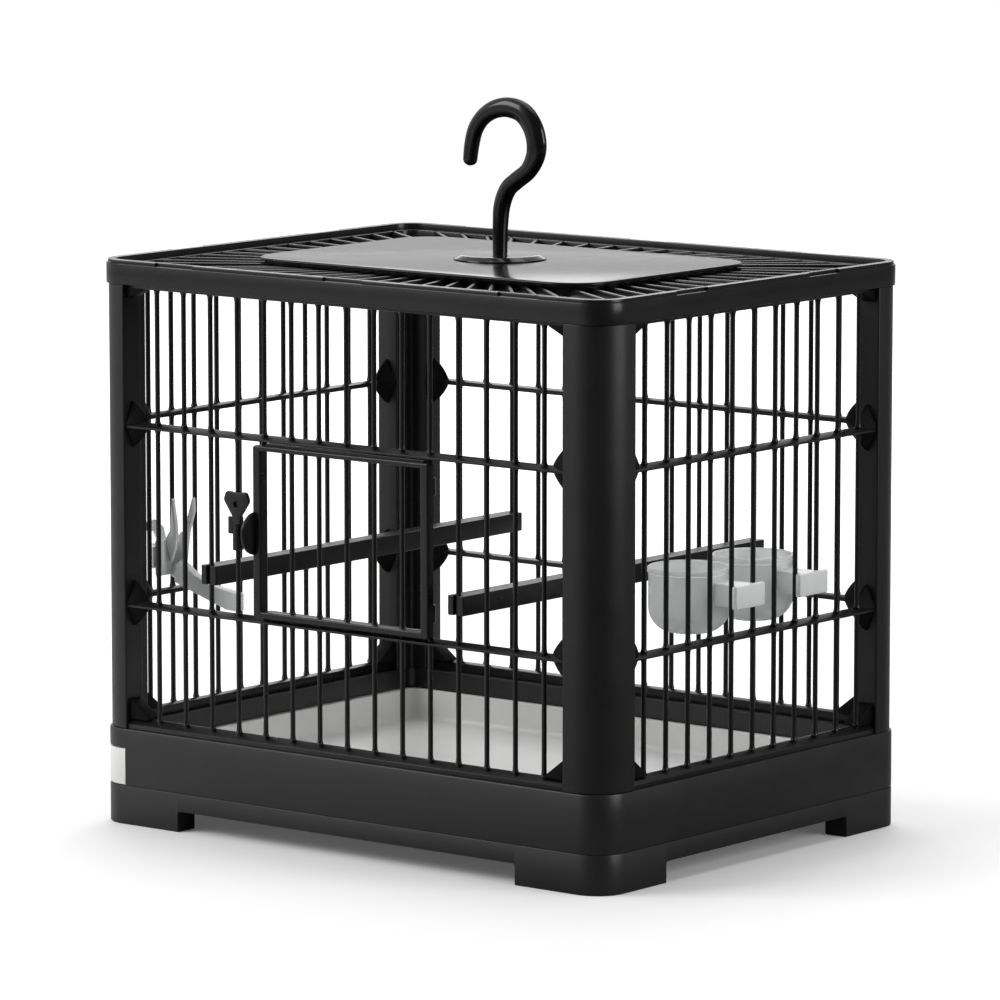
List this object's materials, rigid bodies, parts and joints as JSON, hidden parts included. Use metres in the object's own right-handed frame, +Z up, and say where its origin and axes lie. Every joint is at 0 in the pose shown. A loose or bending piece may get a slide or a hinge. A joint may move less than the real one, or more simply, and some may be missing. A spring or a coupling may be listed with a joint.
{
  "type": "bird travel carrier",
  "caption": "Small barred bird carrier: moulded base with slide-out tray, corner posts, barred walls and door, ribbed roof and a swivelling carrying hook.",
  "frame": {"origin": "on the ground, at the middle of the outline seen from above, door grip included", "axes": "+Z up, +X towards the wall with the feeding cups, -Y towards the door"},
  "size_m": [0.3006, 0.2404, 0.3404],
  "materials": {
    "black_plastic": "satin black moulded plastic",
    "bar_plastic": "half-gloss black moulded plastic",
    "gloss_plastic": "polished black moulded plastic",
    "white_plastic": "satin white moulded plastic",
    "frosted_plastic": "milky half-clear plastic"
  },
  "bodies": {
    "cage": {"base_bottom": "black_plastic", "base_body": "black_plastic", "post_front_left": "black_plastic", "post_front_right": "black_plastic", "post_back_left": "black_plastic", "post_back_right": "black_plastic", "wall_front": "bar_plastic", "wall_back": "bar_plastic", "wall_left": "bar_plastic", "wall_right": "bar_plastic", "roof_frame": "bar_plastic", "roof_plate": "gloss_plastic", "hook_flange": "gloss_plastic", "perch_left": "bar_plastic", "perch_right": "bar_plastic", "cup_front": "frosted_plastic", "cup_back": "frosted_plastic", "fruit_fork": "frosted_plastic"},
    "tray": {"tray": "white_plastic"},
    "door": {"door": "bar_plastic"},
    "latch": {"door_latch": "bar_plastic"},
    "hook": {"hook": "gloss_plastic", "hook_washer": "bar_plastic", "hook_nut": "bar_plastic"}
  },
  "joints": [
    {"name": "tray_slide", "type": "slide", "parent": "cage", "child": "tray", "axis": [-1, 0, 0], "range_m": [0, 0.25]},
    {"name": "door_hinge", "type": "hinge", "parent": "cage", "child": "door", "pos_m": [0.04875, -0.10605, 0.145], "axis": [0, 0, 1], "range_deg": [0, 120]},
    {"name": "latch_turn", "type": "hinge", "parent": "cage", "child": "latch", "pos_m": [-0.065, -0.10605, 0.145], "axis": [0, 0, 1], "range_deg": [0, 90]},
    {"name": "hook_swivel", "type": "hinge", "parent": "cage", "child": "hook", "pos_m": [0, 0.0052, 0.265], "axis": [0, 0, 1], "continuous": true}
  ]
}
